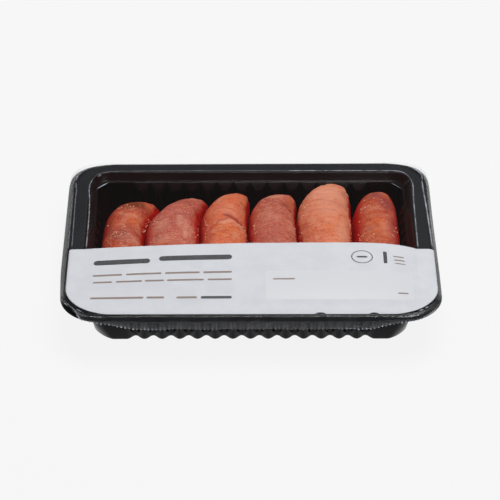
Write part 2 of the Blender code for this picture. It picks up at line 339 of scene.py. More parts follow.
def ribRow(count, share, soft, depth):
    # one pitch is a flat channel, a straight flank and a flat rib top; the rib top
    # narrows as it gets deeper, so a sloping rib shows a tapered tongue. A soft rib is
    # a raised cosine wave instead
    pitch, face, foot = trayLook["ribPitch"], trayLook["ribFace"], trayLook["ribFoot"]
    half = np.array([0.0, 0.26, 0.40, 0.50, 0.64, 0.76, 1.0])
    topEnd, flankEnd = half[2], half[5]
    c = np.concatenate([-half[:0:-1], half[:-1]])[None, :]
    edge = (foot - (foot - face) * np.maximum(share, 0.12))[:, None]
    a = np.abs(c)
    onTop = a / topEnd * edge
    onFlank = edge + (a - topEnd) / (flankEnd - topEnd) * (foot - edge)
    inChannel = foot + (a - flankEnd) / (1.0 - flankEnd) * (pitch / 2 - foot)
    along = np.where(a < topEnd, onTop, np.where(a < flankEnd, onFlank, inChannel))
    flank = np.clip((foot - along) / (foot - face), 0.0, 1.0) / np.maximum(share[:, None], 0.01)
    straight = np.where(a < topEnd, 1.0, np.clip(flank, 0.0, 1.0)) * share[:, None]
    wave = (0.5 + 0.5 * np.cos(np.pi * along / (pitch / 2))) ** trayLook["ribWave"] * share[:, None]
    shape = straight + (wave - straight) * soft[:, None]
    middles = (np.arange(count) - (count - 1) / 2) * pitch
    position = (np.sign(c) * along)[:, None, :] + middles[None, :, None]
    depths = np.repeat(shape[:, None, :], count, axis=1) * depth
    rows = len(share)
    return position.reshape(rows, -1), depths.reshape(rows, -1)


def traySide(halfLength, count, share, soft, depth):
    # the row of ribs in the middle, and plain wall stretched from it to the corners
    position, depths = ribRow(count, share, soft, depth)
    outer = count * trayLook["ribPitch"] / 2
    # on the short rings of the floor the row is squeezed, so that none folds over itself
    squeeze = np.minimum(1.0, trayLook["ribFill"] * halfLength / outer)[:, None]
    position = position * squeeze
    outer = outer * squeeze
    steps = trayLook["endSteps"]
    run = (np.arange(steps) + 1.0)[None, :] / steps
    after = outer + (halfLength[:, None] - outer) * (run - 1.0 / steps)
    before = -outer - (halfLength[:, None] - outer) * run[:, ::-1]
    plain = np.zeros((len(share), steps))
    return np.hstack([before, position, after]), np.hstack([plain, depths, plain])


def trayRings():
    # a ring for each row of the rounded section: the ribs on straight sides, corners
    # as superellipses of the row's power, and the shift of the outer rim
    inset, height, corner, power, share, soft = roundedSection(traySection).T
    # along the long sides the bead round the opening lies a little further out
    shift = trayLook["beadShift"] * np.interp(inset, *trayLook["beadAlong"])
    halfX = packWidth / 2 - inset
    halfY = packDepth / 2 - inset + shift
    longAt, longIn = traySide(halfX - corner, trayLook["ribsLong"], share, soft, trayLook["ribDepthLong"])
    shortAt, shortIn = traySide(halfY - corner, trayLook["ribsShort"], share, soft, trayLook["ribDepthShort"])
    angle = (np.arange(trayLook["cornerSteps"]) / trayLook["cornerSteps"] * np.pi / 2)[None, :]
    halfX, halfY, corner, power = (value[:, None] for value in (halfX, halfY, corner, power))
    reachX = np.abs(np.cos(angle)) ** (2 / power) * corner
    reachY = np.abs(np.sin(angle)) ** (2 / power) * corner
    x = [halfX - shortIn, halfX - corner + reachX, -longAt, corner - halfX - reachY]
    y = [shortAt, halfY - corner + reachY, halfY - longIn, halfY - corner + reachX]
    x, y = (np.hstack(half + [-value for value in half]) for half in (x, y))
    moveX, moveY = rimShift(x, y)
    return np.stack([x + moveX, y + moveY, height[:, None] + 0 * x], axis=-1)


def trayMaterial():
    # near-black plastic: fine uneven gloss, a little dust haze on it, a faint grain, and a painted warm
    # reflection of the roe on the inner walls
    nodes = NodeTree(bpy.data.materials.new("blackTrayPlastic"))
    cloud = nodes.noise(trayLook["cloudScale"], 4.0)
    speck = nodes.noise(trayLook["grainScale"], 2.0)
    dust = nodes.spread(cloud, 0.45, 0.75, 0.0, trayLook["dust"])
    colour = nodes.mix(dust, trayLook["colour"], trayLook["dustColour"])
    # painted reflection: walls that face the middle, found from the cube of the place times the normal,
    # take on some of the roe's warm colour, as light bounced off the sacs would give them
    scale = (2 / (packWidth * mm), 2 / (packDepth * mm), 0.0)
    spot = nodes.add("Mapping", vector=nodes.place(), scale=scale).outputs[0]
    cube = nodes.vector("MULTIPLY", nodes.vector("MULTIPLY", spot, spot)[0], spot)[0]
    facing = nodes.vector("DOT_PRODUCT", cube, nodes.add("TexCoord").outputs["Normal"])["Value"]
    roeReflectionShare = nodes.spread(facing, -0.03, -0.20, 0.0, 1.0)
    grain = nodes.add("Bump", strength=trayLook["grainStrength"], distance=0.0002, height=speck)
    return nodes.finish(
        "BsdfPrincipled",
        baseColor=nodes.mix(roeReflectionShare, colour, trayLook["insideColour"]),
        roughness=nodes.spread(cloud, 0.35, 0.65, *trayLook["roughness"]),
        normal=grain.outputs[0],
        specularIORLevel=trayLook["shine"],
        ior=1.5,
    )


def buildTray():
    # the rings run backwards, so that faces point up and into the tray, and the wall's
    # thickness lies behind them
    points, faces = closedRings(trayRings()[:, ::-1], endClosed=False)
    tray = makePiece("tray_plastic", points, faces, trayMaterial())
    tray.data.set_sharp_from_angle(angle=math.radians(trayLook["creaseAngle"]))
    thicken(tray, trayLook["wall"])
    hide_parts("tray")


buildTray()
print("tray built")


# Roe sacs: squarish ovals between two curved seams, shrinking at both blunt ends,
# with lumps, wrinkles and creases pushed along the surface's own normals

sacForm = {
    "floor": 1.0,
    "stations": (-56.0, -30.0, -6.0, 10.0, 22.0, 34.0, 48.0),
    "seams": (
        (-78.0, -81.0, -82.2, -82.3, -81.6, -80.1, -77.0),
        (-55.0, -57.4, -58.4, -58.6, -57.5, -52.8, -49.4),
        (-28.0, -28.3, -27.8, -27.9, -28.2, -26.8, -23.6),
        (-1.0, -0.8, -0.9, -1.3, -1.5, -1.0, 0.9),
        (25.8, 26.0, 26.7, 26.7, 25.8, 26.1, 28.3),
        (53.6, 55.2, 56.6, 57.2, 57.0, 57.1, 57.9),
        (79.5, 81.4, 82.3, 82.4, 82.4, 82.1, 80.8),
    ),
    "frontLift": 0.62,
    "squareness": 2.4,
    "endRound": 2.5,
    "rows": 220,
    "columns": 210,
    "ends": (0.02, 0.98),
    "lumps": ((0.42, 15.0), (0.20, 6.0)),
    "bend": ((1.6, 9.0), (0.5, 4.0)),
    "skinGrain": 0.05,
    "foldStretch": (0.38, 1.0, 0.38),
    "foldBend": 0.55,
    "foldCell": 3.1,
    "fineCell": 1.5,
    "gathers": 0.35,
    "gatherCount": 9,
    "swelling": 0.35,
}

# one entry for each sac from the left. form: front end, back end, height, lean, lift of
# the back end, bluntness and slant of the top. side shade reach: how far up its left and
# right side the painted side shade of deeper red reaches. wrinkles, net: how much it is
# wrinkled and netted with fine lines. creases: plan points, then a width and a depth. pale,
# dark, rose, warm: patches as x, y, size x, size y and strength; the dark ones are partly
# darker skin and partly painted shade along seams, creases and the outer sides. grains:
# clusters as x, y, spread x, spread y and count
sacLooks = (
    {
        "form": (-52.0, 46.2, 27.8, 10.6, 0.96, 5.4, -1.4),
        "sides": (1.04, 0.76),
        "wrinkles": 0.10,
        "net": 0.35,
        "creases": (
            ((-74, 17), (-72.5, 22), (-69, 26.5), (-63.6, 28.6), (-57.8, 28.1), 1.1, 0.35),
            ((-76, 8), (-70, 11), (-65, 9), 1.0, 0.2),
        ),
        "pale": ((-63.5, -1, 5, 5, 0.55), (-66, 23, 5, 2.5, 0.3)),
        "dark": ((-66.5, 34, 11, 5.5, 1.0), (-80, 18, 5.0, 28, 0.6)),
        "rose": ((-71, 4, 9, 9, 1.0), (-62, 8, 6, 5, 0.5)),
        "warm": ((-56.5, 36.5, 4.5, 2.6, 0.8), (-65, 20, 8, 8, 0.5)),
        "skin": (0.50, 0.072, 0.022, 1.0),
        "roseSkin": (0.37, 0.078, 0.050, 1.0),
        "darkSkin": (0.18, 0.032, 0.006, 1.0),
        "grains": (
            (-72.8, 30.2, 1, 1, 4), (-65.6, 33.1, 2, 0.8, 5), (-55.8, 23.5, 1.2, 3, 8),
            (-57.6, 17.5, 1.2, 2, 6), (-75.2, 4, 1.5, 4, 9), (-71, 3, 4, 5, 8),
            (-78.5, -5, 1, 3, 4), (-66, -6, 5, 2, 5),
        ),
    },
    {
        "form": (-53.0, 49.1, 29.2, 12.6, 0.88, 4.8, 0.0),
        "sides": (0.96, 0.88),
        "wrinkles": 0.20,
        "net": 0.6,
        "creases": (
            ((-36, 36), (-31, 32), (-28, 24), (-27, 14), 1.3, 0.5),
            ((-51, 16.5), (-46, 18.5), (-41, 20.8), (-36, 23), 1.0, 0.35),
            ((-47, 28), (-41, 31), (-35, 31), 0.9, 0.25),
        ),
        "pale": (
            (-39.2, 13, 1.8, 6, 0.5), (-35.8, 4, 2.0, 9, 0.65), (-33, 5, 1.4, 5, 0.4),
            (-49.5, 9, 5, 7, 0.4), (-46, -3, 10, 5, 0.35),
        ),
        "dark": ((-28.5, 31, 5, 6, 0.5), (-28.2, 12, 2.4, 14, 0.7), (-40, 35, 8, 2.5, 0.35)),
        "rose": ((-42, 16, 12, 22, 0.6),),
        "warm": ((-44, -7, 12, 3, 0.4), (-36, 30, 5, 3, 0.3)),
        "skin": (0.61, 0.168, 0.108, 1.0),
        "roseSkin": (0.56, 0.150, 0.112, 1.0),
        "darkSkin": (0.27, 0.035, 0.024, 1.0),
        "grains": (
            (-49, 26, 0.6, 1, 3), (-51.8, 15.5, 0.7, 0.7, 4), (-53.5, 14, 0.6, 2, 3),
            (-29, 11, 0.8, 4, 7), (-26, 18, 0.8, 4, 4), (-55, 4, 1, 4, 4),
        ),
    },
    {
        "form": (-52.0, 54.0, 29.8, 7.2, 1.01, 4.2, 0.0),
        "sides": (1.00, 0.62),
        "wrinkles": 0.07,
        "net": 0.25,
        "creases": (
            ((-14, 19.3), (-9.7, 15.6), (-6.5, 13.2), (-3, 12.6), 1.2, 0.85),
            ((-23, 6.5), (-17.6, 13), (-12.5, 15.3), 1.0, 0.4),
            ((-20, 26), (-14, 28), (-9, 25), 0.9, 0.2),
        ),
        "pale": ((-14, 12.6, 5, 1.8, 0.45), (-5, 10.5, 4, 1.6, 0.5), (-14, 24, 6, 5, 0.3)),
        "dark": ((-7, 15.2, 3, 1.6, 0.4), (-1.6, 30, 1.6, 8, 0.4)),
        "rose": ((-23, 2, 3, 8, 0.5),),
        "warm": ((-13, 3.5, 8, 5, 0.7), (-8.5, 7, 4, 2.5, 0.5), (-10, 40, 8, 6, 0.3)),
        "skin": (0.74, 0.166, 0.064, 1.0),
        "roseSkin": (0.50, 0.105, 0.070, 1.0),
        "darkSkin": (0.38, 0.030, 0.012, 1.0),
        "grains": (
            (-5.2, 33, 0.5, 0.8, 3), (-5.8, 16.6, 0.6, 0.5, 3), (-4.2, 13.4, 0.6, 0.6, 4),
            (-25.4, 17, 0.6, 2, 5), (-7.1, 1.7, 0.5, 0.5, 2), (-10, -3.4, 3, 0.8, 4),
            (-2.8, 4, 0.7, 4, 7), (-24.5, 6, 0.7, 5, 5),
        ),
    },
    {
        "form": (-54.0, 52.2, 29.8, 7.8, 0.96, 5.6, 0.3),
        "sides": (1.00, 0.62),
        "wrinkles": 0.22,
        "net": 0.5,
        "creases": (
            ((8, 32.5), (13.7, 37), (19.4, 33), (24, 26.7), 0.9, 0.5),
            ((10, 34.5), (15, 32.8), (20.5, 28.6), 0.7, 0.35),
            ((5.6, 22.5), (11.9, 25.6), (19.9, 23.5), 0.8, 0.25),
        ),
        "pale": ((13, 41.5, 7, 3, 0.5), (9, 20, 4, 6, 0.2)),
        "dark": ((19, 31, 4, 2.2, 0.6), (10, 33.5, 3, 1.4, 0.4)),
        "rose": ((12, 8, 11, 22, 0.7),),
        "warm": ((23.3, 38, 2.4, 7, 0.8), (4, 26, 2, 8, 0.3)),
        "skin": (0.57, 0.152, 0.090, 1.0),
        "roseSkin": (0.51, 0.128, 0.086, 1.0),
        "darkSkin": (0.22, 0.030, 0.024, 1.0),
        "grains": ((2.2, 10, 0.7, 3, 4), (2.8, 0, 0.8, 4, 6), (24.6, 6, 0.8, 6, 6), (5, -4, 3, 1, 3)),
    },
    {
        "form": (-53.0, 56.8, 31.0, 7.4, 1.50, 6.2, 0.0),
        "sides": (0.62, 0.62),
        "wrinkles": 0.07,
        "net": 0.22,
        "creases": (
            ((31, 31.4), (39.5, 33), (48.6, 30.3), (53, 28.2), 0.9, 0.3),
            ((31.2, 22.5), (40.4, 23.5), (48.3, 21.4), (53.9, 19.3), 0.8, 0.22),
            ((34, 27), (42, 28.4), (50, 25.5), 0.7, 0.12),
            ((38, 38), (45, 38.8), (51, 37), 0.8, 0.12),
        ),
        "pale": (
            (44, 42, 12, 9, 0.6), (47, 21.5, 2, 3, 0.5), (51.5, 13, 2, 7, 0.6),
            (50.5, 1, 4, 8, 0.5), (44, 24, 10, 8, 0.45),
        ),
        "dark": ((52.6, 44, 1.4, 3, 0.35),),
        "rose": ((30.5, 11, 3.5, 9, 0.7), (37, -1, 7, 6, 0.6)),
        "warm": ((50, 12, 6, 14, 0.5), (40, 33, 9, 5, 0.3), (43, 4, 9, 7, 0.5)),
        "skin": (0.80, 0.240, 0.118, 1.0),
        "roseSkin": (0.58, 0.105, 0.052, 1.0),
        "darkSkin": (0.36, 0.070, 0.030, 1.0),
        "grains": (
            (30.8, 28.5, 0.6, 1, 4), (30.1, 22.5, 0.7, 2, 6), (34.8, 28.2, 0.4, 0.4, 2),
            (54.5, 27, 0.6, 3, 5), (55.7, 10, 0.6, 5, 7), (27.8, 3, 0.7, 4, 7),
            (42.4, 10.5, 0.5, 0.5, 1), (54, 49, 1.2, 1.2, 5),
        ),
    },
    {
        "form": (-52.0, 54.2, 29.8, 5.6, 0.93, 5.4, 2.2),
        "sides": (1.08, 1.12),
        "wrinkles": 0.14,
        "net": 0.25,
        "creases": (
            ((63, 30), (69, 32), (74, 30), 1.2, 0.3),
            ((71, 34), (76, 27), (80, 18), 1.0, 0.3),
            ((65, 18), (70, 9), (73, 0), 1.2, 0.25),
        ),
        "pale": ((76, 4, 3.5, 8, 0.35), (63.2, 29.6, 2, 1.6, 0.5), (70, 26, 5, 3, 0.25)),
        "dark": ((77.3, 31, 4.5, 9, 1.0), (70, 43, 11, 6, 0.9), (82, 16, 4.5, 30, 0.7), (66, 6, 3, 5, 0.35)),
        "rose": ((58.2, 14, 4, 24, 1.0),),
        "warm": ((69, 8, 5.5, 11, 0.9), (68, 20, 5, 6, 0.4), (74, -2, 5, 6, 0.5)),
        "skin": (0.52, 0.095, 0.033, 1.0),
        "roseSkin": (0.38, 0.005, 0.002, 1.0),
        "darkSkin": (0.27, 0.062, 0.052, 1.0),
        "grains": (
            (63.2, 29.6, 1, 1, 5), (66.3, 29, 1, 1, 3), (75.3, 32, 0.8, 1.2, 3), (76.4, 12.5, 0.5, 0.5, 1),
            (60.7, 0, 1.2, 2, 7), (68, -5, 4, 1, 4), (79, 4, 1, 4, 4),
        ),
    },
)


def seamAt(seam, y):
    # smooth curve through the seam's stations: cubic Hermite pieces, with slopes taken
    # from the stations on both sides
    stations, seam = np.array(sacForm["stations"]), np.array(seam)
    before = np.maximum(np.arange(len(stations)) - 1, 0)
    after = np.minimum(np.arange(len(stations)) + 1, len(stations) - 1)
    slope = (seam[after] - seam[before]) / (stations[after] - stations[before])
    k = np.clip(np.searchsorted(stations, y) - 1, 0, len(stations) - 2)
    run = stations[k + 1] - stations[k]
    share = (y - stations[k]) / run
    ease = share * share * (3 - 2 * share)
    leaving = share * (1 - share) ** 2 * run * slope[k]
    arriving = share * share * (share - 1) * run * slope[k + 1]
    return seam[k] + (seam[k + 1] - seam[k]) * ease + leaving + arriving


def sacRings(index):
    # rings of rounded ovals along the sac; t runs from -1 at the front to 1 at the back
    front, back, height, lean, lift, blunt, slant = sacLooks[index]["form"]
    rows, columns = sacForm["rows"], sacForm["columns"]
    t = -np.cos(np.pi * np.linspace(*sacForm["ends"], rows))[:, None]
    swell = np.maximum(1 - np.abs(t) ** blunt, 0.0) ** (1 / sacForm["endRound"])
    y = front + (back - front) * (t + 1) / 2
    left, right = seamAt(sacForm["seams"][index], y), seamAt(sacForm["seams"][index + 1], y)
    middle = (left + right) / 2 + np.where(t > 0, lean * (1 - swell), 0.0)
    endLift = sacForm["frontLift"] + (lift - sacForm["frontLift"]) * (t + 1) / 2
    halfHeight = (height - sacForm["floor"]) / 2
    level = sacForm["floor"] + halfHeight * (endLift + (1 - endLift) * swell)
    angle = ((1 - np.arange(columns) / columns) * 2 * np.pi)[None, :]
    power = 2 / sacForm["squareness"]
    across = np.sign(np.cos(angle)) * np.abs(np.cos(angle)) ** power
    upward = np.sign(np.sin(angle)) * np.abs(np.sin(angle)) ** power
    x = middle + across * (right - left) / 2 * swell + slant * np.maximum(upward, 0.0) * swell
    z = level + upward * halfHeight * swell
    return np.stack([x, np.broadcast_to(y, x.shape), z], axis=-1), t, upward, across


def gridNormals(rings):
    # cross product of the two directions along the grid, pointing outwards
    alongRows = np.gradient(rings, axis=0)
    aroundRing = np.roll(rings, -1, axis=1) - np.roll(rings, 1, axis=1)
    normal = np.cross(aroundRing, alongRows)
    return normal / np.maximum(np.linalg.norm(normal, axis=-1, keepdims=True), 1e-9)


def lineDistance(x, y, line):
    # distance in plan from each point to a bent line
    nearest = np.full(x.shape, 1e9)
    for (x0, y0), (x1, y1) in zip(line[:-1], line[1:]):
        run = (x1 - x0) ** 2 + (y1 - y0) ** 2
        share = np.clip(((x - x0) * (x1 - x0) + (y - y0) * (y1 - y0)) / run, 0.0, 1.0)
        away = np.hypot(x - x0 - share * (x1 - x0), y - y0 - share * (y1 - y0))
        nearest = np.minimum(nearest, away)
    return nearest


def patchField(x, y, patches, wander):
    # soft ovals in plan, their edges moved about by noise
    total = np.zeros(x.shape)
    for middleX, middleY, sizeX, sizeY, strength in patches:
        reach = np.hypot((x - middleX) / sizeX, (y - middleY) / sizeY) + wander * 0.45
        total = np.maximum(total, strength * (1 - smoothStep(0.1, 1.5, reach)))
    return total


def sacSurface(index):
    # the smooth form plus lumps, wrinkles across it, gathers at the ends and creases
    look = sacLooks[index]
    rings, t, upward, across = sacRings(index)
    normal = gridNormals(rings)
    x, y = rings[..., 0], rings[..., 1]
    seed = 10 * index
    lumps = layeredNoise(rings, sacForm["lumps"], seed + 1)
    bend = layeredNoise(rings, sacForm["bend"], seed + 3)
    warped = rings * np.array(sacForm["foldStretch"]) + sacForm["foldBend"] * bend[..., None]
    folds = (1 - np.abs(cellNoise(warped, sacForm["foldCell"], seed + 5))) ** 4
    fine = (1 - np.abs(cellNoise(warped * 1.1, sacForm["fineCell"], seed + 8))) ** 3
    where = smoothStep(-0.5, 0.5, cellNoise(rings, 11.0, seed + 6) + 0.5 * np.abs(t))
    wrinkles = -look["wrinkles"] * (1.6 * folds * where + 0.7 * fine * (0.4 + 0.6 * where))
    angle = np.arctan2(upward, across)
    wave = np.sin(sacForm["gatherCount"] * angle + 2.5 * bend)
    gathers = sacForm["gathers"] * wave * smoothStep(0.86, 1.0, np.abs(t))
    height = lumps + wrinkles + gathers + sacForm["skinGrain"] * cellNoise(rings, 1.0, seed + 7)
    top = smoothStep(0.0, 0.5, upward)
    # painted shade: darker along the creases, more where they are deeper
    shade = np.zeros(x.shape)
    for crease in look["creases"]:
        width, depth = crease[-2:]
        wander = bend * 0.5
        away = lineDistance(x + wander, y + wander, crease[:-2])
        cut = np.exp(-((away / width) ** 2)) * top
        swelling = np.exp(-(((away - 2.2 * width) / (1.2 * width)) ** 2)) * top
        height = height - depth * cut + sacForm["swelling"] * depth * swelling
        shade = np.maximum(shade, cut * min(depth * 1.1, 1.0))
    calm = 1 - smoothStep(0.985, 1.0, np.abs(t))
    rings = rings + normal * (height * calm)[..., None]
    # painted side shade: deeper red at both sides, each from its own height on the round section
    leftShadeReach, rightShadeReach = look["sides"]
    side = 1 - smoothStep(0.45, np.where(across < 0, leftShadeReach, rightShadeReach), upward + 0.06 * bend)
    # and painted shade in the folds of the wrinkles
    shade = np.maximum(shade, look["wrinkles"] * 2.2 * folds * where)
    # side and crease carry painted shade for the material
    fields = {
        "side": side,
        "crease": shade,
    }
    for tint in ("pale", "dark", "rose", "warm"):
        fields[tint] = patchField(x, y, look[tint], bend)
    fields["pale"] *= top
    return rings, gridNormals(rings), fields


sacSkin = {
    # deep red of the veins, and also the painted shade down the sides
    "deep": (0.46, 0.006, 0.002, 1.0),
    # pale skin colour, also used for the painted highlight lines and glints
    "pale": (0.76, 0.35, 0.23, 1.0),
    "warm": (0.70, 0.17, 0.045, 1.0),
    # fine dark lines of the skin, and also the painted shade in creases and wrinkles
    "line": (0.30, 0.030, 0.016, 1.0),
    "mottle": 0.5,
    "streaks": 0.35,
    "veins": 0.4,
    "specks": 0.55,
    "blotchScale": 150.0,
    "streakScale": 520.0,
    "veinScale": 190.0,
    "eggScale": 620.0,
    "grainScale": 1100.0,
    "netScale": 640.0,
    "netWarp": 0.0016,
    "grainStrength": 0.6,
    "streakStrength": 0.8,
    "shine": 0.25,
    "roughness": (0.26, 0.46),
    "softness": 0.25,
    "softReach": (1.0, 0.35, 0.18),
    "softScale": 0.0035,
}


def skinMaterial(name, look):
    # moist skin: the sac's own colour, blended to deeper red at the sides and in the creases
    # as painted shade, paler and darker patches, the darker partly painted shade, pale lines
    # and specks that are partly painted highlights, fine roe grain under the skin and a soft glow
    nodes = NodeTree(bpy.data.materials.new(name))
    crosswise = (0.40, 1.0, 0.40)
    blotch = nodes.noise(sacSkin["blotchScale"], 5.0, 0.65)
    streak = nodes.noise(sacSkin["streakScale"], 4.0, 0.65, crosswise)
    vein = nodes.noise(sacSkin["veinScale"], 3.0, 0.55, crosswise)
    # a fine net of darker lines: the edges of cells that noise has pushed about
    shake = nodes.add("TexNoise", vector=nodes.place(), scale=300.0, detail=2.0).outputs["Color"]
    moved = nodes.vector("MULTIPLY_ADD", shake, (sacSkin["netWarp"],) * 3, nodes.place())[0]
    net = nodes.add("TexVoronoi", feature="DISTANCE_TO_EDGE", vector=moved, scale=sacSkin["netScale"])
    eggs = nodes.add("TexVoronoi", vector=nodes.place(), scale=sacSkin["eggScale"])
    offVein = nodes.number("ABSOLUTE", nodes.number("SUBTRACT", vein, 0.5))
    colour = look["skin"]
    # each colour, and how far it covers those before it
    for share, other in (
        (nodes.field("rose"), look["roseSkin"]),
        (nodes.field("warm"), sacSkin["warm"]),
        (nodes.spread(blotch, 0.48, 0.68, 0.0, sacSkin["mottle"]), sacSkin["pale"]),
        (nodes.spread(streak, 0.50, 0.34, 0.0, sacSkin["streaks"]), sacSkin["line"]),
        # pale streak lines on the ridges: painted highlights
        (nodes.spread(streak, 0.54, 0.70, 0.0, sacSkin["streaks"]), sacSkin["pale"]),
        (nodes.spread(net.outputs["Distance"], 0.0, 0.16, look["net"], 0.0), sacSkin["line"]),
        (nodes.spread(offVein, 0.0, 0.022, sacSkin["veins"], 0.0), sacSkin["deep"]),
        # pale specks on the roe grains under the skin, partly painted glints
        (nodes.spread(eggs.outputs["Distance"], 0.10, 0.32, sacSkin["specks"], 0.0), sacSkin["pale"]),
        (nodes.field("pale"), sacSkin["pale"]),
        # dark patches: darker skin, and painted shade along seams, creases and the outer sides
        (nodes.field("dark"), look["darkSkin"]),
        # painted shade in the creases and wrinkles
        (nodes.field("crease"), sacSkin["line"]),
        # painted shade: deeper red down both sides
        (nodes.field("side"), sacSkin["deep"]),
    ):
        colour = nodes.mix(share, colour, other)
    roe = nodes.add("TexVoronoi", vector=nodes.place(), scale=sacSkin["grainScale"]).outputs["Distance"]
    strength = sacSkin["grainStrength"]
    normal = nodes.add("Bump", strength=strength, distance=0.0004, invert=True, height=roe).outputs[0]
    strength = sacSkin["streakStrength"]
    normal = nodes.add("Bump", strength=strength, distance=0.0009, height=streak, normal=normal).outputs[0]
    return nodes.finish(
        "BsdfPrincipled",
        baseColor=colour,
        roughness=nodes.spread(blotch, 0.3, 0.7, *sacSkin["roughness"]),
        normal=normal,
        specularIORLevel=sacSkin["shine"],
        ior=1.4,
        subsurfaceWeight=sacSkin["softness"],
        subsurfaceRadius=sacSkin["softReach"],
        subsurfaceScale=sacSkin["softScale"],
    )


def buildSacs():
    # one closed piece for each sac; the middle of an end takes the mean of its fields
    surfaces = []
    for index, look in enumerate(sacLooks):
        rings, normal, fields = sacSurface(index)
        points, faces = closedRings(rings)
        for key, value in fields.items():
            fields[key] = np.append(value, [value[0].mean(), value[-1].mean()])
        number = index + 1
        skin = skinMaterial("roeSkin%d" % number, look)
        sac = makePiece("roe_sac_%d" % number, points, faces, skin, fields)
        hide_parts("roe_%d" % number)
        surfaces.append((rings, normal))
    return surfaces


sacSurfaces = buildSacs()
print("sacs built")


# Loose roe grains that stick to the skin, small closed balls half sunk into it

grainLook = {
    "size": (0.28, 0.55),
    "columns": 8,
    "rows": 5,
    "scattered": 12,
    "sunk": 0.15,
    "steepest": 0.35,
    "seed": 77,
    "colour": (0.72, 0.30, 0.18, 1.0),
    "paleColour": (0.86, 0.47, 0.33, 1.0),
}


def grainPlaces(index, random):
    # the nearest point of the upper skin to each place drawn from the clusters
    rings, normal = sacSurfaces[index]
    upper = normal[..., 2] > grainLook["steepest"]
    skin, facing = rings[upper], normal[upper]
    wanted = []
    for middleX, middleY, spreadX, spreadY, count in sacLooks[index]["grains"]:
        cluster = [random.normal(middleX, spreadX, count), random.normal(middleY, spreadY, count)]
        wanted.append(np.column_stack(cluster))
    low, high = skin[:, :2].min(axis=0), skin[:, :2].max(axis=0)
    wanted.append(random.uniform(low, high, (grainLook["scattered"], 2)))
    wanted = np.vstack(wanted)
    apart = np.hypot(skin[:, None, 0] - wanted[None, :, 0], skin[:, None, 1] - wanted[None, :, 1])
    nearest = apart.argmin(axis=0)
    return skin[nearest], facing[nearest]


def ballShape():
    # a unit ball as rings of latitude with a point at each pole
    tilt = np.linspace(-np.pi / 2, np.pi / 2, grainLook["rows"] + 2)[1:-1, None]
    turn = (np.arange(grainLook["columns"]) / grainLook["columns"] * 2 * np.pi)[None, :]
    ball = [np.cos(tilt) * np.cos(turn), np.cos(tilt) * np.sin(turn), np.sin(tilt) + 0 * turn]
    points, faces = closedRings(np.stack(ball, axis=-1))
    points[-2:] = ((0, 0, -1), (0, 0, 1))
    return points, faces


def grainMaterial():
    # single grains in two tones, moist and a little see-through
    nodes = NodeTree(bpy.data.materials.new("looseRoe"))
    share = nodes.spread(nodes.noise(700.0, 1.0), 0.35, 0.65, 0.0, 1.0)
    return nodes.finish(
        "BsdfPrincipled",
        baseColor=nodes.mix(share, grainLook["colour"], grainLook["paleColour"]),
        roughness=0.3,
        ior=1.4,
        subsurfaceWeight=0.3,
        subsurfaceScale=0.001,
    )


def buildGrains():
    # one ball at each place, sunk along the skin's normal, all in one mesh
    random = np.random.default_rng(grainLook["seed"])
    spots, facings = zip(*[grainPlaces(index, random) for index in range(len(sacSurfaces))])
    spots, facings = np.vstack(spots), np.vstack(facings)
    size = random.uniform(*grainLook["size"], len(spots))[:, None]
    ball, faces = ballShape()
    points = (spots - facings * size * grainLook["sunk"])[:, None, :] + ball[None] * size[:, :, None]
    faces = [[corner + k * len(ball) for corner in face] for k in range(len(spots)) for face in faces]
    makePiece("roe_grains", points.reshape(-1, 3), faces, grainMaterial())


buildGrains()
print("grains built")


# Film: one thin sheet from the middle over the flange and the lip, with a hanging
# edge that is cut in a zigzag

filmLook = {
    "thickness": 0.10,
    "skirtFront": 7.4,
    "skirtSide": 5.6,
    "skirtCorner": 2.8,
    "tuck": 1.3,
    "tornAngles": (4.0, 26.0, 42.0, 64.0),
    "tornShare": 0.9,
    "toothPitch": 2.1,
    "toothDepth": 0.9,
    "haze": (0.80, 0.84, 0.92, 1.0),
    "sheetHaze": 0.0004,
    "flangeHaze": 0.008,
    "skirtHaze": 0.009,
    "edgeHaze": 0.9,
    "sheetGloss": 0.03,
    "skirtGloss": 0.3,
    "sideGloss": 0.2,
    "roughness": 0.12,
    "hazeScale": 160.0,
    "seed": 301,
    "ripples": ((0.16, 16.0), (0.05, 5.0)),
    "skirtWaves": ((0.5, 13.0), (0.12, 5.0)),
    "sheetRows": 70,
    "sheetSteps": (120, 90, 24),
    "skirtSteps": (620, 430, 140),
    "skirtRows": (0.0, 0.12, 0.25, 0.4, 0.6, 0.8, 0.92, 1.0),
    "skirtInset": ((0.0, 0.25, 0.6, 1.0), (2.6, 1.0, 0.35, 0.12)),
}

# inset from the pack's outline, height, corner radius, rounding
filmSection = (
    (70.0, 28.2, 4.0, 0.0),
    (40.0, 28.2, 6.0, 0.0),
    (22.0, 28.2, 8.0, 0.0),
    (14.0, 28.2, 9.5, 0.0),
    (11.2, 28.25, 10.4, 0.4),
    (10.0, 28.05, 11.4, 0.4),
    (4.4, 28.1, 22.0, 0.6),
    (2.6, shoulderHeight, packCorner, 0.5),
)


def roundedOutline(inset, corner, steps):
    # closed outlines at several insets, with arcs at the corners; steps are the points
    # along a long side, a short side and an arc
    runX, runY = (np.linspace(-1, 1, count, endpoint=False)[None, :] for count in steps[:2])
    angle = (np.arange(steps[2]) / steps[2] * np.pi / 2)[None, :]
    inset, corner = inset[:, None], corner[:, None]
    halfX, halfY = packWidth / 2 - inset, packDepth / 2 - inset
    cx, cy = halfX - corner, halfY - corner
    x = [halfX + 0 * runY, cx + corner * np.cos(angle), -cx * runX, -cx - corner * np.sin(angle)]
    y = [cy * runY, cy + corner * np.sin(angle), halfY + 0 * runX, cy + corner * np.cos(angle)]
    return [np.hstack(half + [-value for value in half]) for half in (x, y)]


